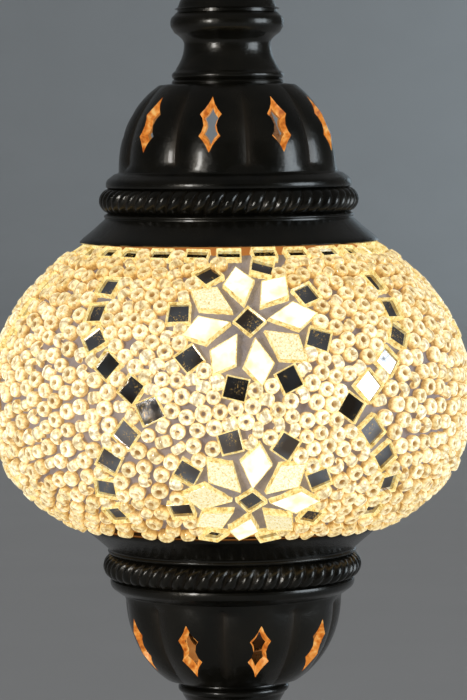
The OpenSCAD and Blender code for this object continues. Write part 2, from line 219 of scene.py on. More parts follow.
def spun(name, outline, columns=240, wobble=0.05):
    """A turned piece from a closed outline, with the slight unevenness of a hand-finished casting."""
    outline = np.array(outline, float)
    angles = around(columns)
    uneven = wobble * np.sin(2 * angles + len(name)) + wobble * 0.6 * np.sin(5 * angles + 1.3)
    radii = outline[:, :1] + uneven[None, :] * (outline[:, :1] > 1)
    return grooved(name, np.maximum(radii, 0), outline[:, 1], angles,
                   np.zeros(len(outline) * columns))


# ---------------- materials

class Paint:
    """A material with one Principled shader, and short ways to add nodes to it."""

    def __init__(self, name, **sockets):
        self.material = bpy.data.materials.new(name)
        self.material.use_nodes = True
        self.tree = self.material.node_tree
        self.shader = self.tree.nodes["Principled BSDF"]
        self.coords = self.tree.nodes.new("ShaderNodeTexCoord").outputs["Object"]
        for socket, value in sockets.items():
            self.shader.inputs[socket.replace("_", " ")].default_value = value

    def link(self, output, socket):
        self.tree.links.new(output, self.shader.inputs[socket])

    def glow(self, colour, strength):
        self.link(colour, "Emission Color")
        self.shader.inputs["Emission Strength"].default_value = strength

    def put(self, socket, value):
        """Sets a socket to a number or a colour, or links a node's output to it."""
        if isinstance(value, (int, float)):
            socket.default_value = value
        elif isinstance(value, tuple):
            socket.default_value = (*value, 1)
        else:
            self.tree.links.new(value, socket)

    def attribute(self, name):
        node = self.tree.nodes.new("ShaderNodeAttribute")
        node.attribute_name = name
        return node.outputs["Fac"]

    def noise(self, size, detail=3, rough=0.55):
        """Noise whose spots are about size millimetres across."""
        node = self.tree.nodes.new("ShaderNodeTexNoise")
        self.tree.links.new(self.coords, node.inputs["Vector"])
        node.inputs["Scale"].default_value = 1 / (size * MM)
        node.inputs["Detail"].default_value = detail
        node.inputs["Roughness"].default_value = rough
        return node.outputs["Fac"]

    def ramp(self, factor, *stops):
        """A colour ramp: stops are (place, value or colour)."""
        node = self.tree.nodes.new("ShaderNodeValToRGB")
        elements = node.color_ramp.elements
        while len(elements) < len(stops):
            elements.new(0.5)
        for element, (place, colour) in zip(elements, stops):
            element.position = place
            colour = (colour,) * 3 if isinstance(colour, (int, float)) else colour
            element.color = (*colour, 1)
        self.tree.links.new(factor, node.inputs["Fac"])
        return node.outputs["Color"]

    def maths(self, operation, a, b):
        node = self.tree.nodes.new("ShaderNodeMath")
        node.operation = operation
        for socket, value in zip(node.inputs, (a, b)):
            self.put(socket, value)
        return node.outputs[0]

    def mix(self, factor, a, b, blend="MIX"):
        node = self.tree.nodes.new("ShaderNodeMix")
        node.data_type = "RGBA"
        node.blend_type = blend
        colours = [s for s in node.inputs if s.type == "RGBA"]
        for socket, value in ((node.inputs[0], factor), (colours[0], a), (colours[1], b)):
            self.put(socket, value)
        return [s for s in node.outputs if s.type == "RGBA"][0]

    def bump(self, height, depth, strength=1.0):
        """Relief of depth millimetres from a 0 to 1 height."""
        node = self.tree.nodes.new("ShaderNodeBump")
        node.inputs["Distance"].default_value = depth * MM
        node.inputs["Strength"].default_value = strength
        self.tree.links.new(height, node.inputs["Height"])
        self.link(node.outputs["Normal"], "Normal")


def bronze_paint(name, glow=0.0):
    """Near-black lacquered bronze: brown dust in the grooves, soft unevenness from the casting."""
    paint = Paint(name, Metallic=0.55, Coat_Weight=0.28, Coat_Roughness=0.1)
    patch = paint.noise(14, 4)
    grain = paint.noise(0.9, 5, 0.65)
    groove = paint.attribute("groove")
    tone = paint.ramp(patch, (0.32, (0.006, 0.006, 0.004)), (0.7, (0.020, 0.017, 0.011)))
    dust = paint.mix(paint.maths("MULTIPLY", groove, 0.7), tone, (0.036, 0.025, 0.014))
    paint.link(dust, "Base Color")
    shine = paint.maths("ADD", paint.maths("MULTIPLY", patch, 0.22), 0.12)
    paint.link(paint.maths("ADD", shine, paint.maths("MULTIPLY", groove, 0.25)), "Roughness")
    paint.bump(paint.maths("ADD", paint.maths("MULTIPLY", patch, 2.5), grain), 0.08)
    # The inside of a casting can glow with painted light from the bulb: a warm orange emission,
    # though the bronze is no lamp.
    if glow:
        light = paint.ramp(paint.noise(6), (0.3, (0.75, 0.24, 0.05)), (0.75, (1.0, 0.46, 0.13)))
        paint.glow(light, glow)
    return paint.material


def slit_paint():
    """The cut wall of a slit, lit from inside."""
    paint = Paint("slit_wall", Metallic=0.3, Roughness=0.35)
    paint.link(paint.ramp(paint.noise(3), (0.3, (0.10, 0.035, 0.01)), (0.7, (0.22, 0.09, 0.02))),
               "Base Color")
    light = paint.ramp(paint.noise(1.8), (0.34, (0.40, 0.09, 0.01)), (0.52, (0.80, 0.27, 0.04)),
                       (0.70, (1.0, 0.58, 0.18)))
    paint.glow(light, 0.8)
    return paint.material


def bead_paint():
    """Clear glass beads whose light from behind is painted on as a glow: bright crowns where they
    face out, painted shade at their amber feet and in their faint holes, and a painted darker line
    along beads that lie on their side.
    """
    paint = Paint("bead_glass", Roughness=0.08, IOR=1.5, Coat_Weight=0.3, Coat_Roughness=0.03)
    cloud = paint.noise(1.0, 2)
    tone = paint.attribute("tone")
    # Painted light: the glow is brightest where a bead faces out and darker on its steep sides.
    lit = paint.ramp(
        paint.attribute("facing"), (0.0, (0.50, 0.32, 0.13)), (0.2, (0.78, 0.56, 0.26)),
        (0.42, (0.98, 0.84, 0.50)), (0.68, (1.0, 0.93, 0.66)), (1.0, (1.0, 0.95, 0.74)))
    # Painted shade at the foot of each bead, where it meets the grout.
    foot = paint.ramp(paint.attribute("rise"), (0.27, 1), (0.45, 0))
    lit = paint.mix(foot, lit, (0.27, 0.165, 0.07))
    sparkle = paint.ramp(cloud, (0.34, (0.68, 0.58, 0.43)), (0.49, (0.96, 0.94, 0.86)),
                         (0.61, (1.25, 1.27, 1.30)))
    lit = paint.mix(1.0, lit, sparkle, "MULTIPLY")
    # Painted shade: a darker line along the middle of a bead lying on its side, where its hole shows
    # through.
    line = paint.ramp(paint.attribute("across"), (0.3, 1), (0.52, 0))
    line = paint.maths("MULTIPLY", line, paint.ramp(paint.attribute("rise"), (0.6, 0), (0.8, 0.6)))
    lit = paint.mix(line, lit, (0.42, 0.27, 0.12))
    # Painted shade inside each bead's hole, deeper on some beads than on others.
    hole = paint.ramp(paint.attribute("hole"), (0.1, 0), (0.7, 1))
    hole = paint.maths("MULTIPLY", hole, paint.ramp(tone, (0.2, 0.9), (0.75, 0.4)))
    lit = paint.mix(hole, lit, (0.30, 0.165, 0.06))
    warm = paint.ramp(tone, (0.0, (0.88, 0.78, 0.60)), (0.45, (1.0, 0.97, 0.90)),
                      (1.0, (1.1, 1.1, 1.12)))
    lit = paint.mix(1.0, lit, warm, "MULTIPLY")
    # Painted shade: the beads' glow turns dimmer and warmer towards the top and bottom rims.
    painted_rim_shade = paint.attribute("painted_rim_shade")
    lit = paint.mix(1.0, lit, paint.ramp(painted_rim_shade, (0.0, (1.0, 1.0, 1.0)), (1.0, (0.84, 0.72, 0.52))),
                    "MULTIPLY")
    # The glow, and the base colour mixed from it, carry the painted light of the bulb behind the
    # beads.
    paint.glow(lit, 0.93)
    paint.link(paint.mix(0.6, lit, (0.05, 0.04, 0.03)), "Base Color")
    paint.bump(cloud, 0.05)
    return paint.material


def petal_paint():
    """Cream glass, smooth or stippled in patches, lit from behind."""
    paint = Paint("petal_glass", Roughness=0.22, IOR=1.5, Coat_Weight=0.3, Coat_Roughness=0.08)
    speck = paint.noise(0.5, 3, 0.75)
    smooth = paint.ramp(paint.attribute("tone"), (0.48, 0), (0.52, 1))
    stippled = paint.ramp(speck, (0.34, (0.55, 0.40, 0.15)), (0.44, (0.95, 0.84, 0.50)),
                          (0.56, (1.05, 1.03, 0.84)))
    plain = paint.ramp(paint.noise(4.5, 2), (0.32, (0.92, 0.80, 0.46)), (0.5, (1.0, 0.97, 0.76)),
                       (0.62, (1.12, 1.12, 1.02)))
    lit = paint.mix(smooth, stippled, plain)
    warm = paint.ramp(paint.attribute("tone"), (0.0, (0.84, 0.78, 0.62)), (1.0, (1.08, 1.08, 1.1)))
    lit = paint.mix(1.0, lit, warm, "MULTIPLY")
    paint.glow(lit, 1.0)
    paint.link(paint.mix(0.5, lit, (0.08, 0.07, 0.05)), "Base Color")
    paint.bump(speck, 0.12)
    return paint.material


def edge_paint():
    """The cut edge of a tile, where the light inside gathers."""
    paint = Paint("tile_edge", Roughness=0.2, Coat_Weight=0.4, Coat_Roughness=0.05)
    chip = paint.noise(1.1, 4, 0.7)
    lit = paint.ramp(chip, (0.32, (0.42, 0.25, 0.05)), (0.47, (0.82, 0.60, 0.20)),
                     (0.62, (1.0, 0.88, 0.45)))
    paint.glow(lit, 0.9)
    paint.link(paint.mix(0.5, lit, (0.1, 0.08, 0.05)), "Base Color")
    paint.bump(chip, 0.1)
    return paint.material


def mirror_paint():
    """Mirror glass whose silvering is worn to brassy specks in places, where painted light from
    inside glows through.
    """
    paint = Paint("mirror_face", Metallic=1.0, Coat_Weight=0.5, Coat_Roughness=0.02)
    speck = paint.noise(0.5, 3, 0.75)
    worn_with_painted_glow = paint.maths("MULTIPLY", paint.ramp(speck, (0.56, 0), (0.62, 1)),
                       paint.ramp(paint.noise(4.5, 2), (0.5, 0), (0.62, 1)))
    silver = paint.ramp(paint.noise(9, 1), (0.35, (0.30, 0.23, 0.17)), (0.65, (0.58, 0.60, 0.63)))
    paint.link(paint.mix(worn_with_painted_glow, silver, (0.55, 0.36, 0.12)), "Base Color")
    # Painted light: the worn specks glow as if the light inside shone through them.
    paint.glow(paint.mix(worn_with_painted_glow, (0.0, 0.0, 0.0), (0.8, 0.5, 0.14)), 0.6)
    paint.link(paint.ramp(paint.noise(3.5, 2), (0.3, 0.02), (0.75, 0.10)), "Roughness")
    paint.bump(paint.noise(5, 1), 0.02)
    return paint.material


def grout_paint():
    """Grey-lilac grout that lets some of the light through."""
    paint = Paint("grout", Roughness=0.85)
    patch = paint.noise(7, 3)
    grain = paint.noise(0.5, 4, 0.7)
    paint.link(paint.ramp(patch, (0.3, (0.26, 0.24, 0.27)), (0.7, (0.34, 0.31, 0.33))),
               "Base Color")
    lit = paint.ramp(patch, (0.3, (0.10, 0.086, 0.09)), (0.7, (0.20, 0.15, 0.12)))
    paint.glow(lit, 0.8)
    paint.bump(grain, 0.25)
    return paint.material


def plain_paint(name, dark, light, size, rough, metal=0.0, depth=0.05, **sockets):
    """A material of two tones with a grain of the given size and its own relief."""
    paint = Paint(name, Metallic=metal, **sockets)
    grain = paint.noise(size, 4, 0.6)
    paint.link(paint.ramp(grain, (0.32, dark), (0.68, light)), "Base Color")
    paint.link(paint.ramp(grain, (0.3, rough[0]), (0.7, rough[1])), "Roughness")
    paint.bump(grain, depth)
    return paint.material


def felt_paint():
    """Pressed felt with loose fibres."""
    paint = Paint("felt", Roughness=0.95, Sheen_Weight=0.5, Sheen_Roughness=0.6)
    fibre = paint.noise(0.35, 6, 0.8)
    paint.link(paint.ramp(fibre, (0.3, (0.010, 0.020, 0.014)), (0.7, (0.035, 0.060, 0.045))),
               "Base Color")
    paint.bump(fibre, 0.4)
    return paint.material


def lamp_paint(name, colour, strength, size):
    """A glowing surface whose brightness varies a little."""
    paint = Paint(name, Base_Color=(*colour, 1), Roughness=0.25)
    dim = tuple(c * 0.75 for c in colour)
    paint.glow(paint.ramp(paint.noise(size, 2), (0.3, dim), (0.7, colour)), strength)
    return paint.material


BRONZE = bronze_paint("bronze")
# A copy of the bronze for the castings' insides, with the bulb's light painted on as a glow.
BRONZE_INSIDE_PAINTED_GLOW = bronze_paint("bronze_inside_painted_glow", glow=0.35)
SLIT = slit_paint()
BEAD = bead_paint()
PETAL = petal_paint()
EDGE = edge_paint()
MIRROR = mirror_paint()
GROUT = grout_paint()
FELT = felt_paint()
STEEL = plain_paint("steel", (0.42, 0.42, 0.41), (0.62, 0.61, 0.59), 0.8, (0.22, 0.4), 1.0)
BRASS = plain_paint("brass", (0.52, 0.34, 0.12), (0.78, 0.56, 0.24), 1.5, (0.18, 0.35), 1.0)
IRON = plain_paint("iron", (0.03, 0.03, 0.032), (0.08, 0.075, 0.07), 1.2, (0.5, 0.8), 0.6, 0.3)
RUBBER = plain_paint("rubber", (0.012, 0.012, 0.012), (0.03, 0.03, 0.03), 0.8, (0.55, 0.8))
PHENOLIC = plain_paint("phenolic", (0.016, 0.012, 0.010), (0.035, 0.027, 0.022), 2.5, (0.2, 0.4))
CORE = plain_paint("insulator", (0.62, 0.60, 0.54), (0.78, 0.76, 0.70), 2, (0.5, 0.7))
JET = plain_paint("insulator_black", (0.008, 0.008, 0.008), (0.02, 0.02, 0.02), 1.5, (0.15, 0.3))
BULB = lamp_paint("bulb_light", (1.0, 0.80, 0.52), 7, 8)
FILAMENT = lamp_paint("filament", (1.0, 0.62, 0.22), 12, 2)
# The globe's glass glows orange with painted light from the bulb; it is no lamp itself.
LIT_GLASS = lamp_paint("globe_glass", (0.62, 0.27, 0.07), 0.5, 12)


# ---------------- castings

LOBES = 9
STRANDS = 58
COLUMNS = 696
ROPE_Z = 11.5
DOME_R, DOME_Z, DOME_B, DOME_N = 30.1, 19.5, 28.6, 2.2
CAST_H = CAP_TOP - CAP_RIM
WALL = 2
LOBE_DEEP = 1.5
ROPE_DEEP = 1.25
ROPE_LEAN = 0.1
SLIT_RISE, SLIT_HALF = 14.9, 3.1
SLIT_START = DOME_Z + 5.2


def dome_curve(radius, half, top, steps):
    """Points up a dome a little fuller than an ellipse, from its start to a height above it."""
    end = math.asin((top / half) ** (DOME_N / 2))
    turns = np.linspace(0, end, steps)
    return [(radius * math.cos(t) ** (2 / DOME_N), DOME_Z + half * math.sin(t) ** (2 / DOME_N))
            for t in turns]


def casting_rows():
    """Rows of a pierced casting above its rim: radius, height, lobe depth, rope depth, inside."""
    rows = []

    def add(points, lobe=None, rope=None, inside=0):
        for index, (r, z) in enumerate(points):
            rows.append((r, z, lobe(z) if lobe else 0, rope[index] if rope else 0, inside))

    def lobe(z):
        return float(smoothstep(z, DOME_Z, DOME_Z + 2) * (1 - 0.6 * smoothstep(z, 37, CAST_H)))

    add([(38.6, 0), (40.7, 0), (41, 0.25), (40.9, 0.6), (40.2, 1.3), (39.2, 2.1), (38.1, 3.0)])
    add([(37.0, 3.9), (36.0, 4.8), (35.0, 5.7), (34.1, 6.5)])
    add(arc(33.6, 7.3, 0.7, 0.55, -50, 70, 6))
    rope_rows = arc(32.2, ROPE_Z, 3.4, 3.45, -74, 76, 22)
    add(rope_rows, rope=[math.sin(math.pi * (i + 0.6) / (len(rope_rows) + 0.2)) ** 0.45
                         for i in range(len(rope_rows))])
    add([(33.3, 15.0)] + arc(32.0, 15.9, 1.7, 2.0, -20, 62, 9) + [(32.1, 18.2), (31.3, 18.8)])
    add([(30.5, 19.0), (30.2, 19.2)])
    add(dome_curve(DOME_R, DOME_B, CAST_H - DOME_Z - 0.4, 36), lobe)
    add([(15.6, CAST_H), (12, CAST_H), (6, CAST_H)])
    add([(6, CAST_H - 2.4), (12, CAST_H - 2.4)], inside=1)
    add(dome_curve(DOME_R - WALL, DOME_B - WALL, CAST_H - 2.6 - DOME_Z, 24)[::-1], inside=1)
    add([(29, 17), (30.2, 15), (30.2, 8), (30.5, 2), (33.5, 2), (36.6, 2)], inside=1)
    return np.array(rows)


def relief(rows, angles, turn, upside):
    """Radius of every point of a casting, and how deep in a groove it lies."""
    radius, height, lobe, rope, _ = rows.T
    lobe_phase = (angles - turn) / TAU * LOBES + 0.5
    climb = np.where(rope > 0, height - ROPE_Z, 0)[:, None] * ROPE_LEAN * (-1 if upside else 1)
    strand_phase = angles[None, :] / TAU * STRANDS - climb + 0.5
    lobe_cut = lobe[:, None] * arch(lobe_phase)[None, :]
    rope_cut = rope[:, None] * arch(strand_phase)
    depth = LOBE_DEEP * lobe_cut * radius[:, None] / 30 + ROPE_DEEP * rope_cut
    groove = np.clip(lobe_cut ** 4 + rope_cut ** 3, 0, 1)
    return radius[:, None] - depth, groove


def dome_at(z):
    """Radius of the dome's outside at a height above the rim."""
    return DOME_R * max(0.05, 1 - ((z - DOME_Z) / DOME_B) ** DOME_N) ** (1 / DOME_N)


def slit_outline():
    """Half outline of a slit: two spiky lozenges joined at a waist, as (x, share of the height)."""
    lozenge = [(0.35, 0.04), (0.9, 0.12), (1.75, 0.20), (SLIT_HALF, 0.29), (2.25, 0.37)]
    lower = [(x, 0.98 - share * 0.98) for x, share in reversed(lozenge)]
    return [(0, 0)] + lozenge + [(1.75, 0.49)] + lower + [(0, 1)]


def slit_cutter(rim, turn, upside):
    """Tapered plugs, square to the dome, that cut a slit in each lobe."""
    right = slit_outline()
    outline = right + [(-x, share) for x, share in reversed(right[1:-1])]
    middle = SLIT_START + SLIT_RISE / 2
    rings = []
    for narrow, inward in ((0.62, WALL + 4), (0.62, WALL), (1, 0), (1.04, -4)):
        ring = []
        for x, share in outline:
            z = middle + (share - 0.5) * SLIT_RISE * (0.3 + 0.7 * narrow)
            lean = math.asin(min(0.9, (z - DOME_Z) / DOME_B))
            ring.append((x * narrow, -dome_at(z) + inward * math.cos(lean),
                         z - inward * math.sin(lean) * 0.5))
        rings.append(ring)
    count = len(outline)
    bm = bmesh.new()
    for lobe in range(LOBES):
        spin = Matrix.Rotation(turn + TAU * lobe / LOBES, 3, "Z")
        loops = [[bm.verts.new(spin @ Vector((x, y, rim - z if upside else rim + z)) * MM)
                  for x, y, z in ring] for ring in rings]
        for first, second in zip(loops, loops[1:]):
            for k in range(count):
                n = (k + 1) % count
                bm.faces.new((first[k], first[n], second[n], second[k]))
        bm.faces.new(loops[0][::-1])
        bm.faces.new(loops[-1])
    bmesh.ops.recalc_face_normals(bm, faces=bm.faces)
    return bm


def cut(piece, name, shape, material):
    """Cuts a shape out of the piece, and gives the walls of the cut its material."""
    mesh = bpy.data.meshes.new(name)
    shape.to_mesh(mesh)
    shape.free()
    mesh.materials.append(material)
    cutter = new_object(name, mesh)
    modifier = piece.modifiers.new("cut", "BOOLEAN")
    modifier.operation = "DIFFERENCE"
    modifier.solver = "MANIFOLD"
    modifier.object = cutter
    modifier.material_mode = "TRANSFER"
    view = bpy.context.evaluated_depsgraph_get()
    result = bpy.data.meshes.new_from_object(piece.evaluated_get(view), depsgraph=view)
    piece.modifiers.clear()
    piece.data = result
    bpy.data.objects.remove(cutter)
    smooth(result, SHARP)


def make_casting(name, rim, turn, upside, body, node):
    rows = casting_rows()
    angles = around(COLUMNS)
    radii, groove = relief(rows, angles, turn, upside)
    heights = rim - rows[:, 1] if upside else rim + rows[:, 1]
    mesh = grooved(name, radii, heights, angles, groove, rows[:, 4].astype(np.int32))
    for material in (BRONZE, BRONZE_INSIDE_PAINTED_GLOW):
        mesh.materials.append(material)
    piece = add_object(name, mesh)
    cut(piece, "slits", slit_cutter(rim, turn, upside), SLIT)
    return finish_piece(piece, body, "bronze", (), node)


make_casting("cap_casting", CAP_RIM, math.radians(-10), False, "cap", "upper_cap")
make_casting("cup_casting", CUP_RIM, math.radians(15), True, "stand", "lower_cup")


# ---------------- necks, stem, foot, finial

def neck_outline():
    """Half outline of the waisted neck, from its collar up to its ring."""
    flare = [(11.9 + 2.6 * s * s, 10.7 + 3.1 * s) for s in np.linspace(0.12, 1, 8)]
    return ([(5.3, 0), (15.3, 0), (15.4, 0.5), (15.0, 1.0)] + arc(14.0, 2.2, 1.35, 1.2, -60, 55, 9)
            + [(14.3, 3.6)] + cove(14.1, 4.2, 11.9, 10.7, 12) + flare
            + arc(14.5, 16.5, 1.1, 2.0, -62, 62, 12)
            + [(14.6, 18.6), (14.2, 19.1), (13.8, NECK_TOP - CAP_TOP), (5.3, NECK_TOP - CAP_TOP)])


def add_bronze(mesh, body, node):
    finish_piece(add_object(mesh.name, mesh), body, "bronze", (BRONZE,), node)


add_bronze(spun("cap_neck", [(r, CAP_TOP + z) for r, z in neck_outline()]), "cap", "upper_spool")
add_bronze(spun("cup_neck", [(r, CUP_FLOOR - z) for r, z in neck_outline()]), "stand",
           "lower_spool")


def finial_outline():
    z = FINIAL_FOOT
    return ([(3.3, z), (14.2, z), (14.4, z + 0.2), (13.6, z + 0.5)]
            + arc(0, z + 0.6, 13.3, 6.6, 6, 66, 14)
            + arc(4.7, z + 7.2, 0.9, 0.6, -60, 60, 5) + [(4.5, z + 8.2)]
            + arc(0, z + 15.7, 8, 7.6, -56, 60, 22) + [(3.4, z + 22.6)]
            + arc(3.2, z + 23.1, 0.7, 0.4, -60, 60, 4) + [(3.0, z + 23.7)]
            + arc(0, z + 26, 4.2, 2.9, -44, 48, 10)
            + cove(2.3, z + 28.6, 0.7, FINIAL_TIP - 0.6, 6) + [(0, FINIAL_TIP)]
            + [(0, z + 17), (3.3, z + 17)])


add_bronze(spun("finial_turned", finial_outline()), "finial", "finial")


def make_baluster():
    """The stem: a gadrooned vase between two coves, under a bell that carries the neck."""
    foot = COLLAR_TOP
    vase = foot + 27
    bell = NECK_FOOT - 1.2
    profile = ([(5.2, foot), (13.4, foot), (13.6, foot + 0.4), (13.4, foot + 1.6)]
               + cove(12.4, foot + 2.4, 8, foot + 10, 10)
               + arc(8.2, foot + 11.2, 1.1, 0.9, -60, 60, 6)
               + arc(8, vase, 8.5, 14.2, -66, 68, 34)
               + arc(9.6, vase + 14.4, 1.2, 0.8, -50, 70, 6)
               + cove(9.2, vase + 15.6, 7.3, vase + 20, 8) + [(7.3, bell - 7.4)]
               + arc(7.5, bell - 6.4, 0.9, 0.8, -60, 50, 5)
               + arc(0, bell, 13.3, 6.5, -53, -4, 12)
               + [(14.2, NECK_FOOT - 0.7), (14.4, NECK_FOOT - 0.2), (14.2, NECK_FOOT),
                  (5.2, NECK_FOOT)])
    profile = np.array(profile)
    angles = around(360)
    body = smoothstep(profile[:, 1], vase - 12.5, vase - 6) * (
        1 - smoothstep(profile[:, 1], vase + 6, vase + 12.5))
    body = body * (profile[:, 0] > 6)
    cut_in = arch(angles / TAU * 12)
    radii = profile[:, :1] - 1.1 * body[:, None] * cut_in[None, :]
    mesh = grooved("stem_turned", radii, profile[:, 1], angles,
                   body[:, None] * cut_in[None, :] ** 4)
    add_bronze(mesh, "stand", "stem_baluster")


make_baluster()


def roped_ring(name, outline, rope_at, rope_half, strands, deep, columns, lobes=(0, 0, 1, 0)):
    """A turned piece whose outline is twisted into a rope near one height, and lobed above it.

    The lobes are their count, the heights they start and end at, and their depth as a share.
    """
    outline = np.array(outline, float)
    angles = around(columns)
    share = np.clip(1 - ((outline[:, 1] - rope_at) / rope_half) ** 2, 0, 1) ** 0.5
    share = share * (outline[:, 0] > outline[:, 0].max() * 0.7)
    lean = (outline[:, 1] - rope_at)[:, None] * 0.085
    twist = share[:, None] * arch(angles[None, :] / TAU * strands - lean)
    count, start, end, lobe_deep = lobes
    weight = smoothstep(outline[:, 1], start, start + 2) * (
        1 - smoothstep(outline[:, 1], end - 2, end))
    weight = weight * (outline[:, 2] if outline.shape[1] > 2 else 1)
    swell = weight[:, None] * arch(angles / TAU * count + 0.5)[None, :]
    radii = outline[:, :1] * (1 - lobe_deep * swell) - deep * twist
    return grooved(name, radii, outline[:, 1], angles, np.clip(twist ** 3 + swell ** 4, 0, 1))


def make_collar():
    z = FOOT_TOP
    outline = ([(5.2, z), (16.3, z)] + arc(16.5, z + 2.2, 2.0, 2.1, -85, 85, 16)
               + [(15.2, z + 4.7)] + arc(14.3, z + 5.3, 0.7, 0.55, -60, 80, 5)
               + [(13.6, COLLAR_TOP), (5.2, COLLAR_TOP)])
    mesh = roped_ring("collar_rope", outline, z + 2.2, 2.2, 30, 0.6, 480)
    add_bronze(mesh, "stand", "stem_collar")


make_collar()


def make_foot():
    """The foot: a moulded rim, a rope band and a lobed dome, hollow underneath."""
    r = FOOT_R
    dome_z, dome_r, dome_b = 18.5, 41, 18.2
    top = math.degrees(math.asin((FOOT_TOP - dome_z) / dome_b))
    roof = math.degrees(math.asin((FOOT_TOP - 2.4 - dome_z) / (dome_b - WALL)))
    outer = ([(r - 0.4, FELT_TOP), (r, FELT_TOP + 0.5), (r, 4.2), (r - 0.5, 5.0), (r - 1.6, 5.6)]
             + [(r - 3.4, 6.6), (r - 5.2, 7.8), (r - 6.8, 9.0), (r - 8.2, 10.0)]
             + arc(r - 10.5, 13.4, 3.2, 3.2, -62, 66, 18)
             + [(44.2, 16.8)] + arc(42.6, 17.4, 1.0, 0.7, -50, 70, 6)
             + arc(0, dome_z, dome_r, dome_b, 2, top, 26)
             + [(6, FOOT_TOP)])
    inner = ([(6, FOOT_TOP - 2.4)]
             + arc(0, dome_z, dome_r - WALL, dome_b - WALL, roof, 0, 14)
             + [(r - 13, 12.2), (r - 8.8, 12), (r - 8.8, FELT_TOP)])
    outline = [(x, z, 1) for x, z in outer] + [(x, z, 0) for x, z in inner]
    mesh = roped_ring("foot_cast", outline, 13.4, 3.3, 78, 0.8, 780, (13, 18.8, 34.5, 0.045))
    piece = add_object("foot_cast", mesh)
    hole = bmesh.new()
    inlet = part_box("cable_grommet")
    bmesh.ops.create_cone(hole, cap_ends=True, segments=48, radius1=4 * MM, radius2=4 * MM,
                          depth=60 * MM)
    centre = Vector((0, inlet[0].y + 20 * MM, (inlet[0].z + inlet[1].z) / 2))
    hole.transform(Matrix.Translation(centre) @ Matrix.Rotation(math.pi / 2, 4, "X"))
    piece.data.materials.append(BRONZE)
    cut(piece, "inlet", hole, BRONZE)
    finish_piece(piece, "stand", "bronze", (), "foot_casting")


make_foot()


# ---------------- the globe's surface

EQUATOR = CUP_RIM + 35.4
BELOW = CUP_RIM - EQUATOR
ABOVE = CAP_RIM - EQUATOR
GLOBE_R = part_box("bead_layer")[1].x / MM
UPPER_B, LOWER_B, LOWER_N = 53.2, 43.25, 2.4


def globe_radius(z):
    """Radius over the bead tops at a height from the equator."""
    z = np.asarray(z, float)
    up = np.sqrt(np.clip(1 - (np.maximum(z, 0) / UPPER_B) ** 2, 1e-6, 1))
    down = np.clip(1 - (np.maximum(-z, 0) / LOWER_B) ** LOWER_N, 1e-6, 1) ** (1 / LOWER_N)
    return GLOBE_R * np.where(z >= 0, up, down)


TABLE_Z = np.linspace(-40, 46, 1721)
TABLE_R = globe_radius(TABLE_Z)
TABLE_SLOPE = np.gradient(TABLE_R, TABLE_Z)
TABLE_S = np.concatenate([[0], np.cumsum(np.hypot(np.diff(TABLE_R), np.diff(TABLE_Z)))])
TABLE_S -= np.interp(0, TABLE_Z, TABLE_S)


def walk_of(z):
    """Distance along the meridian from the equator to a height."""
    return np.interp(z, TABLE_Z, TABLE_S)


def bend_at(walk):
    """How sharply a circle of latitude bends away from the straight way round."""
    z = np.interp(walk, TABLE_S, TABLE_Z)
    slope = np.interp(z, TABLE_Z, TABLE_SLOPE)
    return -slope / np.hypot(1, slope) / np.interp(z, TABLE_Z, TABLE_R)


def place_on_globe(angle, walk, depth):
    """Points at a depth under the bead tops, with the right, up and outward directions there."""
    angle, walk = np.asarray(angle, float), np.asarray(walk, float)
    z = np.interp(walk, TABLE_S, TABLE_Z)
    radius = np.interp(z, TABLE_Z, TABLE_R)
    tilt = np.arctan(-np.interp(z, TABLE_Z, TABLE_SLOPE))
    sin, cos = np.sin(angle), np.cos(angle)
    right = np.stack([cos, sin, 0 * cos], -1)
    out = np.stack([sin * np.cos(tilt), -cos * np.cos(tilt), np.sin(tilt)], -1)
    up = np.stack([-sin * np.sin(tilt), cos * np.sin(tilt), np.cos(tilt)], -1)
    point = np.stack([radius * sin, -radius * cos, EQUATOR + z], -1)
    return point - out * np.asarray(depth)[..., None], right, up, out


# ---------------- tiles

REPEATS = 3
PATTERN_TURN = math.radians(5)
FLOWERS = ((-24.2, math.radians(5)), (24.2, math.radians(-9)))
PETAL_RING, SQUARE_RING = 11.8, 19.2
TILE_A, FLOWER_A, TILE_T = 6.4, 6.1, 2.1
PETAL_L, PETAL_W = 13.2, 8.5
RIM_TILE_H = 4.4
RIM_COUNT = 28
TILE_DEPTH = 2.75
FRAME_ROWS = (-28.6, -21, -13, -5.5, 1, 6.5, 12.5, 19, 26, 33)
chance = np.random.default_rng(11)


def frame_angle(z):
    """Half width of the hourglass frame, in degrees, at a height from the equator."""
    if z > 0:
        return 23.5 + 20 * math.sin(math.radians(90 * min(1, z / 26))) ** 1.4
    return 23.5 + 15.5 * math.sin(math.radians(90 * min(1, -z / 28))) ** 0.8


def frame_spin(z):
    across = math.radians(frame_angle(z + 1) - frame_angle(z - 1)) * float(globe_radius(z))
    along = float(walk_of(z + 1) - walk_of(z - 1))
    return math.atan2(across, along)


def box_outline(wide, tall):
    return np.array([(-wide, -tall), (wide, -tall), (wide, tall), (-wide, tall)]) / 2


def kite():
    """A petal: a lozenge, a little wider towards the flower's outside."""
    return np.array([(0, -PETAL_L / 2), (PETAL_W / 2, PETAL_L * 0.08), (0, PETAL_L / 2),
                     (-PETAL_W / 2, PETAL_L * 0.08)])


def rotated(outline, angle):
    cos, sin = math.cos(angle), math.sin(angle)
    return outline @ np.array([(cos, sin), (-sin, cos)])


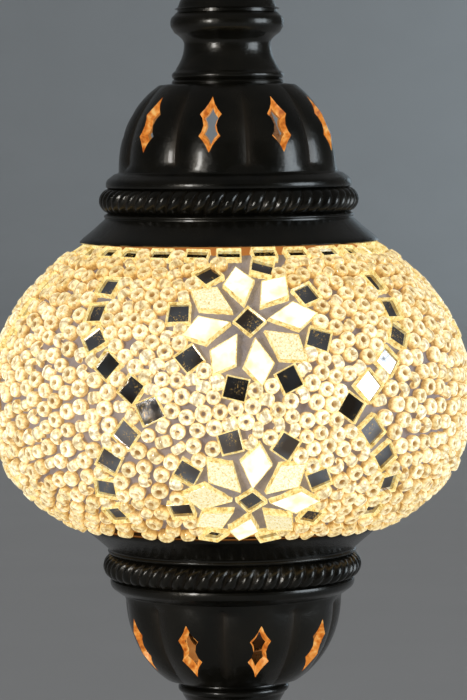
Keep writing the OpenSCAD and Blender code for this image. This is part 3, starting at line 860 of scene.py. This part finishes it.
def tile_list():
    """Every tile: kind, angle and walk of its centre, and its outline there."""
    tiles = []

    def add(kind, angle, walk, outline, spin, jitter, loose=0.05):
        outline = rotated(outline, spin + chance.normal(0, loose))
        outline = outline * chance.uniform(0.97, 1.03) + chance.uniform(-jitter, jitter, (4, 2))
        tiles.append((kind, angle, walk, outline))

    def add_round(kind, centre, heart, ring, turn, outline, jitter):
        """One tile of a ring round the flower whose centre is at heart."""
        across, along = ring * math.sin(turn), ring * math.cos(turn)
        bend = float(bend_at(heart + along))
        walk = heart + along - bend * across * across / 2
        radius = float(np.interp(walk, TABLE_S, TABLE_R))
        add(kind, centre + across / radius, walk, outline, -turn - bend * across, jitter)

    for repeat in range(REPEATS):
        centre = PATTERN_TURN + TAU * repeat / REPEATS
        for side in (-1, 1):
            for z in FRAME_ROWS:
                turn = centre + side * math.radians(frame_angle(z) + chance.normal(0, 0.4))
                square = box_outline(TILE_A, TILE_A)
                add("frame", turn, float(walk_of(z)), square, -side * frame_spin(z), 0.25, 0.1)
        for z, flower_turn in FLOWERS:
            heart = float(walk_of(z))
            square = box_outline(FLOWER_A, FLOWER_A)
            add("flower", centre, heart, square, math.radians(40), 0.2)
            for k in range(8):
                turn = TAU * k / 8 + flower_turn
                add_round("petal", centre, heart, PETAL_RING, turn, kite(), 0.2)
                turn += TAU / 16
                add_round("flower", centre, heart, SQUARE_RING, turn, square, 0.2)
    for k in range(RIM_COUNT):
        angle = TAU * (k + chance.normal(0, 0.04)) / RIM_COUNT
        outline = box_outline(TILE_A, RIM_TILE_H)
        add("rim", angle, float(walk_of(ABOVE - 0.8)), outline, 0, 0.15, 0.02)
    return tiles


TILES = tile_list()


def make_tiles(name, wanted, sink, slot, face, node):
    """Cut glass tiles: the face lies sink millimetres down inside the clear glass's lit walls."""
    points, quads, marks, tones = [], [], [], []
    for kind, angle, walk, outline in TILES:
        if kind != wanted:
            continue
        thick = TILE_T * chance.uniform(0.93, 1.07)
        centre, right, up, out = place_on_globe(angle, walk, TILE_DEPTH)
        lean = chance.normal(0, 0.03 if kind == "rim" else 0.05, 2)
        out = out + right * lean[0] + up * lean[1]
        out = out / np.linalg.norm(out)
        right = np.cross(up, out)
        length = np.linalg.norm(outline, axis=1, keepdims=True)
        rim = outline * (1 - 0.24 / length)
        floor = outline * (1 - (0.5 if sink > 0.5 else 0.4) / length)
        chip = chance.uniform(0, 0.22, 4)
        levels = ((outline * 1.02, 0), (outline, thick - 0.15 - chip), (rim, thick - chip * 0.5),
                  (floor, thick - sink))
        base = len(points)
        for shape, level in levels:
            level = np.broadcast_to(level, 4)
            for (u, v), w in zip(shape, level):
                points.append(centre + right * u + up * v + out * w)
        for ring in (0, 4, 8):
            for k in range(4):
                n = (k + 1) % 4
                quads.append((base + ring + k, base + ring + n, base + ring + 4 + n,
                              base + ring + 4 + k))
                marks.append(1)
        quads.append((base + 12, base + 13, base + 14, base + 15))
        marks.append(0)
        quads.append((base + 3, base + 2, base + 1, base))
        marks.append(1)
        smooth = chance.uniform() < (0.8 if walk > 0 else 0.25)
        tones.extend([0.5 * (chance.uniform() + smooth)] * 16)
    mesh = fast_mesh(name, np.array(points), np.array(quads))
    mesh.polygons.foreach_set("material_index", marks)
    add_attribute(mesh, "tone", tones)
    piece = add_object(name, mesh, 20)
    finish_piece(piece, "globe", slot, (face, EDGE), node)


make_tiles("mosaic_frame", "frame", 1.1, "mirror_glass", MIRROR, "frame_mirrors")
make_tiles("mosaic_flower_mirrors", "flower", 1.1, "mirror_glass", MIRROR, "flower_mirrors")
make_tiles("mosaic_petals", "petal", 0.25, "petal_glass", PETAL, "glass_petals")
make_tiles("mosaic_rim", "rim", 1.0, "mirror_glass", MIRROR, "rim_mirrors")


# ---------------- beads

BEAD_R = 2.16
BEAD_HALF = 1.55
HOLE_R = 0.48
LOWEST_BEAD = float(walk_of(BELOW + 0.4))
HIGHEST_BEAD = float(walk_of(ABOVE - 1.1))
FLOWER_ROOM = 15.2
COVER = 0.71
SIDE_SHARE = 0.3
PUSH_STEPS = 260
NEAR_BEAD, NEAR_TILE = 7, 10
LEAST_TILE_GAP, LEAST_BEAD_GAP = 0.78, 0.8
TILE_ANGLE = np.array([t[1] for t in TILES])
TILE_WALK = np.array([t[2] for t in TILES])
CORNERS = np.array([t[3] for t in TILES])
EDGES = np.roll(CORNERS, -1, 1) - CORNERS
NORMALS = np.stack([EDGES[..., 1], -EDGES[..., 0]], -1)
NORMALS /= np.linalg.norm(NORMALS, axis=-1, keepdims=True)


def wrap(angle):
    """The same angle between minus and plus half a turn."""
    return (angle + math.pi) % TAU - math.pi


def near_pairs(angle, walk, radius):
    """Indexes of every two beads that are near each other."""
    across = wrap(angle[:, None] - angle[None, :]) * radius[:, None]
    along = walk[:, None] - walk[None, :]
    first, second = np.nonzero((np.abs(across) < NEAR_BEAD) & (np.abs(along) < NEAR_BEAD))
    keep = first < second
    return first[keep], second[keep]


def tile_gaps(angle, walk, radius):
    """How far each bead's centre is outside each tile near it, and the way out."""
    u = wrap(angle[:, None] - TILE_ANGLE[None, :]) * radius[:, None]
    v = walk[:, None] - TILE_WALK[None, :] + bend_at(walk)[:, None] * u * u / 2
    bead, tile = np.nonzero(np.hypot(u, v) < NEAR_TILE)
    offset = np.stack([u[bead, tile], v[bead, tile]], -1)[:, None, :] - CORNERS[tile]
    outside = (offset * NORMALS[tile]).sum(-1)
    nearest = outside.argmax(1)
    return bead, outside[np.arange(len(bead)), nearest], NORMALS[tile, nearest]


def push_off_flowers(angle, walk, radius):
    """Moves beads off the grout between a flower's petals."""
    for repeat in range(REPEATS):
        for z, _ in FLOWERS:
            across = wrap(angle - PATTERN_TURN - TAU * repeat / REPEATS) * radius
            along = walk - float(walk_of(z)) + bend_at(walk) * across * across / 2
            away = np.hypot(across, along) + 1e-6
            shove = np.clip(FLOWER_ROOM - away, 0, None) / away
            angle += across * shove / radius
            walk += along * shove


def push_apart(angle, walk, radius, reach, spread, first, second):
    """Moves the beads of every near pair away from each other until they only touch."""
    across = wrap(angle[second] - angle[first]) * (radius[first] + radius[second]) / 2
    along = walk[second] - walk[first]
    apart = np.hypot(across, along) + 1e-6
    push = np.clip((reach[first] + reach[second]) * spread - apart, 0, None) * 0.35 / apart
    move_u, move_v = np.zeros(len(angle)), np.zeros(len(angle))
    np.add.at(move_u, first, -across * push)
    np.add.at(move_v, first, -along * push)
    np.add.at(move_u, second, across * push)
    np.add.at(move_v, second, along * push)
    return angle + move_u / radius, walk + move_v


def unspoiled(angle, walk, radius, reach):
    """Which beads neither overlap a tile nor sit inside another bead."""
    bead, gap, _ = tile_gaps(angle, walk, radius)
    clear = np.full(len(angle), float(NEAR_TILE))
    np.minimum.at(clear, bead, gap)
    keep = clear > reach * LEAST_TILE_GAP
    first, second = near_pairs(angle, walk, radius)
    across = wrap(angle[second] - angle[first]) * (radius[first] + radius[second]) / 2
    apart = np.hypot(across, walk[second] - walk[first]) / (reach[first] + reach[second])
    keep[second[(apart < LEAST_BEAD_GAP) & keep[first]]] = False
    return keep


def scatter_beads():
    """Packs beads at random over the globe and pushes them apart and off the tiles."""
    walks = np.linspace(LOWEST_BEAD, HIGHEST_BEAD, 400)
    density = np.interp(walks, TABLE_S, TABLE_R)
    area = np.trapz(density, walks) * TAU
    taken = REPEATS * len(FLOWERS) * (math.pi * FLOWER_ROOM ** 2 + 8 * 0.75 * FLOWER_A ** 2)
    taken += (REPEATS * 2 * len(FRAME_ROWS) + RIM_COUNT * 0.5) * TILE_A ** 2
    count = int((area - taken) * COVER / (math.pi * (BEAD_R * 0.97) ** 2))
    share = np.cumsum(density) / density.sum()
    walk = np.interp(chance.uniform(size=count), share, walks)
    angle = chance.uniform(0, TAU, count)
    size = BEAD_R * chance.normal(1, 0.045, count)
    on_side = chance.uniform(size=count) < SIDE_SHARE
    reach = np.where(on_side, size * 0.93, size)
    for step in range(PUSH_STEPS):
        radius = np.interp(walk, TABLE_S, TABLE_R)
        if step % 6 == 0:
            first, second = near_pairs(angle, walk, radius)
        spread = 1.03 + 0.32 * max(0, 1 - step / (PUSH_STEPS * 0.75))
        angle, walk = push_apart(angle, walk, radius, reach, spread, first, second)
        push_off_flowers(angle, walk, radius)
        bead, gap, way = tile_gaps(angle, walk, radius)
        shove = np.clip(reach[bead] * 0.98 - gap, 0, None) * 0.8
        np.add.at(angle, bead, way[:, 0] * shove / radius[bead])
        np.add.at(walk, bead, way[:, 1] * shove)
        walk = np.clip(walk, LOWEST_BEAD, HIGHEST_BEAD)
    keep = unspoiled(angle, walk, radius, reach)
    return angle[keep], walk[keep], size[keep], on_side[keep]


def bead_shape(segments=18, ring=12):
    """Points and normals of one bead about its axis +Z, its faces, and which lie in the hole."""
    middle, half_wide = (BEAD_R + HOLE_R) / 2, (BEAD_R - HOLE_R) / 2
    turn = (np.arange(ring) + 0.5) * TAU / ring
    cos, sin = np.cos(turn), np.sin(turn)
    round_off = (np.abs(cos) ** 2.4 + np.abs(sin) ** 2.4) ** (-1 / 2.4)
    radius = middle + half_wide * cos * round_off
    height = BEAD_HALF * sin * round_off
    spin = np.arange(segments) * TAU / segments
    points = np.stack([radius[:, None] * np.cos(spin), radius[:, None] * np.sin(spin),
                       height[:, None] + 0 * spin], -1)
    lean = np.stack([cos * BEAD_HALF / half_wide, sin], -1)
    lean /= np.linalg.norm(lean, axis=1, keepdims=True)
    normals = np.stack([lean[:, :1] * np.cos(spin), lean[:, :1] * np.sin(spin),
                        lean[:, 1:] + 0 * spin], -1)
    in_hole = np.clip(-cos * 2.2 - 1.0, 0, 1)
    return (points.reshape(-1, 3), normals.reshape(-1, 3), grid_quads(ring, segments, True),
            np.repeat(in_hole, segments))


def make_beads():
    """Every bead as a ring of glass, lit by its slope, and joined into five pieces."""
    angle, walk, size, on_side = scatter_beads()
    count = len(angle)
    shape, shape_normals, faces, in_hole = bead_shape()
    depth = np.where(on_side, size * 0.96, BEAD_HALF) + chance.uniform(-0.1, 0.25, count)
    centre, right, up, out = place_on_globe(angle, walk, depth)
    heading = chance.uniform(0, TAU, count)[:, None]
    flat = right * np.cos(heading) + up * np.sin(heading)
    lean = np.where(on_side, chance.normal(1.5, 0.1, count),
                    np.abs(chance.normal(0, 0.11, count)))[:, None]
    axis = out * np.cos(lean) + flat * np.sin(lean)
    side = np.cross(axis, right * 0.3 + up * 0.7 + out * 0.1)
    side /= np.linalg.norm(side, axis=1, keepdims=True)
    third = np.cross(axis, side)
    frames = np.stack([side, third, axis], 1)
    scale = np.stack([size / BEAD_R, size / BEAD_R * chance.normal(1, 0.03, count),
                      chance.normal(1, 0.08, count)], -1)
    offset = (shape[None] * scale[:, None]) @ frames
    points = centre[:, None] + offset
    # How far each point faces out and how high it stands on its bead: the bead glass turns these into
    # painted light and shade.
    facing = np.clip(((shape_normals @ frames) * out[:, None]).sum(-1), -0.2, 1)
    rise = np.clip((offset * out[:, None]).sum(-1) / BEAD_R, -1, 1) * 0.5 + 0.5
    groove = np.cross(axis, out)
    across = np.abs((offset * groove[:, None]).sum(-1)) + np.where(on_side, 0, 9)[:, None]
    hole = np.where(on_side[:, None], 0, in_hole[None])
    tone = np.repeat(chance.beta(2.2, 1.8, count)[:, None], len(shape), 1)
    # How near a bead lies to the rims, with a little random spread, for the painted shade there.
    painted_rim_shade = np.clip(np.abs(walk) / 42, 0, 1) ** 1.6 + chance.normal(0, 0.12, count)
    painted_rim_shade = np.repeat(painted_rim_shade[:, None], len(shape), 1)
    order = np.argsort(angle % TAU)
    for part, chosen in enumerate(np.array_split(order, 5)):
        quads = (faces[None] + (np.arange(len(chosen)) * len(shape))[:, None, None]).reshape(-1, 4)
        mesh = fast_mesh(f"beads_{part + 1}", points[chosen].reshape(-1, 3), quads)
        for key, values in (("facing", facing), ("rise", rise), ("hole", hole),
                            ("across", across), ("tone", tone), ("painted_rim_shade", painted_rim_shade)):
            add_attribute(mesh, key, values[chosen])
        piece = add_object(mesh.name, mesh, 80)
        finish_piece(piece, "globe", "bead_glass", (BEAD,), "bead_layer")


make_beads()


# ---------------- grout

GROUT_DEPTH, GROUT_BACK = 2.45, 3.9


def make_grout():
    """The grout between the beads, a thin uneven shell on the glass."""
    rows, columns = 120, 600
    top, bottom = float(walk_of(ABOVE - 0.2)), float(walk_of(BELOW + 0.2))
    walk = np.linspace(bottom, top, rows)
    angles = around(columns)
    grid_a, grid_w = np.meshgrid(angles, walk)
    rough = chance.normal(0, 0.10, grid_a.shape)
    rough = (rough + np.roll(rough, 1, 0) + np.roll(rough, 1, 1)
             + np.roll(rough, (1, 1), (0, 1))) / 2
    outer = place_on_globe(grid_a, grid_w, GROUT_DEPTH + rough)[0]
    inner_a, inner_w = grid_a[::6], grid_w[::6]
    inner = place_on_globe(inner_a, inner_w, np.full(inner_a.shape, GROUT_BACK))[0]
    points = np.concatenate([outer, inner[::-1]]).reshape(-1, 3)
    count = len(outer) + len(inner)
    mesh = fast_mesh("grout_skin", points, grid_quads(count, columns, True))
    clean(mesh)
    finish_piece(add_object("grout_skin", mesh, 60), "globe", "grout", (GROUT,), "grout_bed")


make_grout()


# ---------------- bulb

def make_bulb():
    z = BULB_FOOT
    outside = ([(6.2, z - 3), (6.3, z + 1.5)] + arc(0, z + 31, 17.5, 31, -56, 0, 18)
               + arc(0, z + 31, 17.5, BULB_TIP - z - 31, 4, 74, 22)
               + cove(3.9, BULB_TIP - 2.2, 0.6, BULB_TIP - 0.2, 5) + [(0, BULB_TIP)])
    mesh = spun("bulb_envelope", outside + [(0, z - 3)], 96)
    finish_piece(add_object(mesh.name, mesh), "bulb", "bulb_glass", (BULB,), "bulb_glass")


make_bulb()


# ---------------- CAD nodes that stay

KEPT = (
    (FELT, "felt_pad"),
    (IRON, "ballast_disc"),
    (RUBBER, "cable_grommet cup_seal cap_seal"),
    (STEEL, "foot_washer foot_nut threaded_tube harp_saddle saddle_nut harp_strip harp_stud"),
    (STEEL, "bulb_contact"),
    (PHENOLIC, "holder_base holder_shell"),
    (CORE, "holder_core"),
    (BRASS, "thread_sleeve centre_contact side_contact terminal_screws"),
    (BRASS, "finial_insert bulb_cap"),
    (LIT_GLASS, "glass_globe"),
    (BRONZE, "finial_washer"),
    (JET, "bulb_base"),
    (FILAMENT, "bulb_stem"),
)

for material, names in KEPT:
    for node in names.split():
        slots = NODES[node].material_slots
        if not slots:
            NODES[node].data.materials.append(material)
        for entry in slots:
            entry.material = material


# ---------------- studio

def stage_paint(name, colour, rough):
    paint = Paint(name)
    paint.link(paint.ramp(paint.noise(90, 2), (0.3, tuple(c * 0.97 for c in colour)),
                          (0.7, colour)), "Base Color")
    paint.shader.inputs["Roughness"].default_value = rough
    return paint.material


STUDIO_R, STUDIO_BEND, STUDIO_H = 5000, 900, 2600


def make_studio():
    """A pale floor that sweeps up into a round plain wall, open at the top."""
    flat = STUDIO_R - STUDIO_BEND
    rows = [(0, 0), (800, 0), (2400, 0), (flat, 0)]
    rows += arc(flat, STUDIO_BEND, STUDIO_BEND, STUDIO_BEND, -86, 0, 16)
    rows = np.array(rows + [(STUDIO_R, 2 * STUDIO_BEND), (STUDIO_R, STUDIO_H)], float)
    angles = around(96)
    points = turned(rows[:, :1] + 0 * angles[None, :], rows[:, 1] - 0.02, angles)
    mesh = fast_mesh("studio_floor", points.reshape(-1, 3), grid_quads(len(rows), 96, False))
    clean(mesh, 1e-6)
    mesh.flip_normals()
    studio = add_object("studio_floor", mesh, 60)
    studio.data.materials.append(stage_paint("studio", (0.43, 0.43, 0.43), 0.9))


def softbox(name, target, azimuth, elevation, away, wide, tall, power, colour):
    """A soft rectangle of light that faces a target point in metres."""
    data = bpy.data.lights.new(name, "AREA")
    data.shape = "RECTANGLE"
    data.size = wide
    data.size_y = tall
    data.energy = power
    data.color = colour
    light = new_object(name, data)
    turn, lift = math.radians(azimuth), math.radians(elevation)
    way = Vector((math.sin(turn) * math.cos(lift), -math.cos(turn) * math.cos(lift),
                  math.sin(lift)))
    light.matrix_world = (Matrix.Translation(Vector(target) + way * away)
                          @ (-way).to_track_quat("-Z", "Y").to_matrix().to_4x4())
    return light


make_studio()
LAMP = (0, 0, EQUATOR * MM)
softbox("softbox_left", LAMP, -37, 8, 1.6, 0.2, 0.5, 10, (1.0, 0.98, 0.95))
softbox("softbox_right", LAMP, 74, 8, 1.7, 0.8, 0.8, 15, (0.80, 0.90, 1.0))
# These three light the backdrop, and don't show in the bronze or the mirrors.
for row in (("ceiling", (0, 1.8, 0), 0, 90, 3.0, 3.5, 3.5, 25, (1.0, 0.99, 0.98)),
            ("wash_near", (0.8, 3.0, 0), 50, 40, 1.3, 0.5, 0.5, 5, (0.70, 0.88, 1.0)),
            ("wash_far", (0.9, 4.9, 0.3), 50, 30, 1.4, 0.5, 0.5, 15, (0.68, 0.87, 1.0))):
    softbox(*row).visible_glossy = False
world = bpy.data.worlds.new("world")
world.use_nodes = True
ambient = world.node_tree.nodes["Background"].inputs
ambient["Color"].default_value = (0.58, 0.58, 0.58, 1)
ambient["Strength"].default_value = 0.18
bpy.context.scene.world = world
